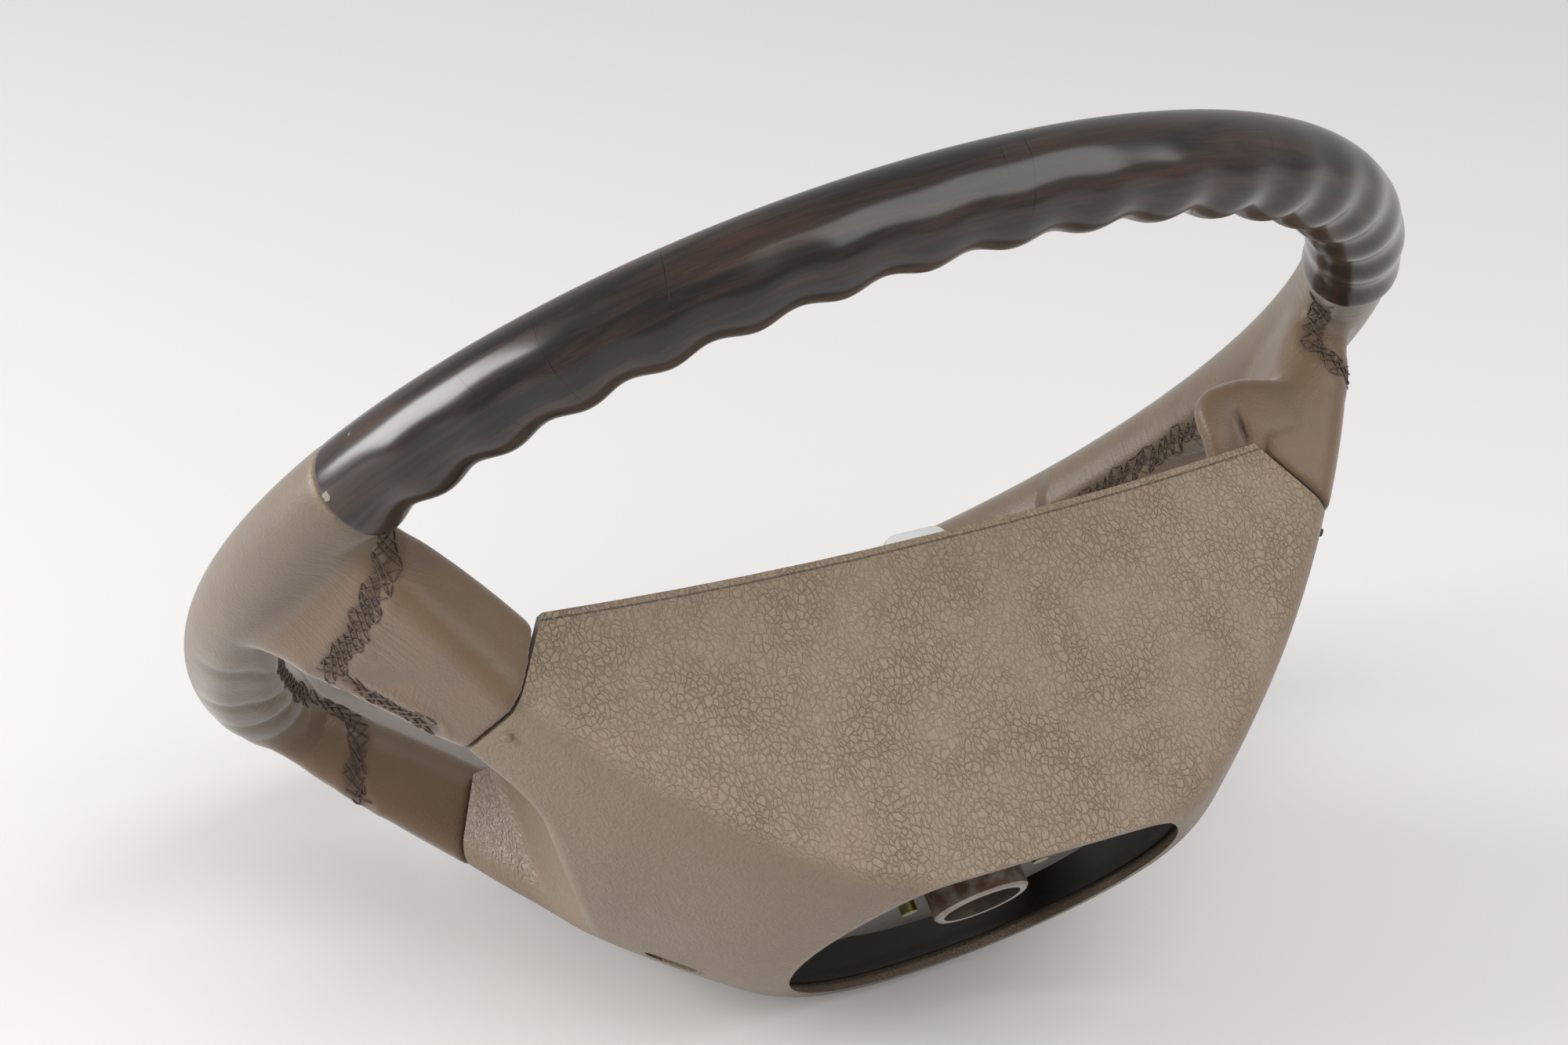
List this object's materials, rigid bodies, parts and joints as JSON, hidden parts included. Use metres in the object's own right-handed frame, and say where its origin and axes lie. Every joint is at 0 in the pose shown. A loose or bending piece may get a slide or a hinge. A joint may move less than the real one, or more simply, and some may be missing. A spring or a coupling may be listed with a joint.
{
  "type": "steering wheel",
  "caption": "Car steering wheel with a grooved wood and leather rim, padded spokes, a deep rear cover and a sprung horn plate in its open front.",
  "frame": {"origin": "middle of the hub's rear mouth, where the column shaft enters", "axes": "+X to the driver's right, +Y back along the column away from the driver, +Z to 12 o'clock on the rim"},
  "size_m": [0.3876, 0.1603, 0.3881],
  "materials": {
    "hub_steel": "turned steel with rust on its outside",
    "grey_steel": "dull grey coat on pressed steel",
    "core_steel": "plain bar",
    "lacquered_wood": "very dark brown under gloss lacquer, with fine cracks and chips",
    "foam": "moulded foam",
    "taupe_leather": "smooth leather, worn to a soft sheen",
    "taupe_vinyl": "grained soft skin",
    "black_plastic": "matte moulded plastic",
    "zinc_steel": "bright zinc plate",
    "yellow_zinc": "yellow passivated zinc",
    "spring_steel": "drawn wire",
    "white_nylon": "natural nylon",
    "contact_brass": "plain brass"
  },
  "bodies": {
    "wheel": {"hub_boss": "hub_steel", "spider": "grey_steel", "rim_core": "core_steel", "wood_rim": "lacquered_wood", "rim_foam": "foam", "rim_leather": "taupe_leather", "upper_right_spoke_foam": "foam", "upper_left_spoke_foam": "foam", "lower_right_spoke_foam": "foam", "lower_left_spoke_foam": "foam", "upper_right_spoke_leather": "taupe_leather", "upper_left_spoke_leather": "taupe_leather", "lower_right_spoke_leather": "taupe_leather", "lower_left_spoke_leather": "taupe_leather", "rear_cover": "taupe_vinyl", "cover_liner": "black_plastic", "cover_clips": "black_plastic", "cover_screws": "zinc_steel", "carrier_bracket": "zinc_steel", "carrier_screws": "yellow_zinc", "shoulder_bolts": "zinc_steel", "horn_springs": "spring_steel", "horn_contacts": "contact_brass", "contact_insulators": "white_nylon"},
    "horn": {"horn_plate": "zinc_steel", "spring_bushes": "white_nylon", "plate_contacts": "contact_brass"}
  },
  "joints": [
    {"name": "horn_push", "type": "slide", "parent": "wheel", "child": "horn", "axis": [0, 1, 0], "range_m": [0, 0.0018], "stiffness_N_per_m": 8000, "springref_m": -0.003, "deforming": ["horn_springs"]}
  ]
}
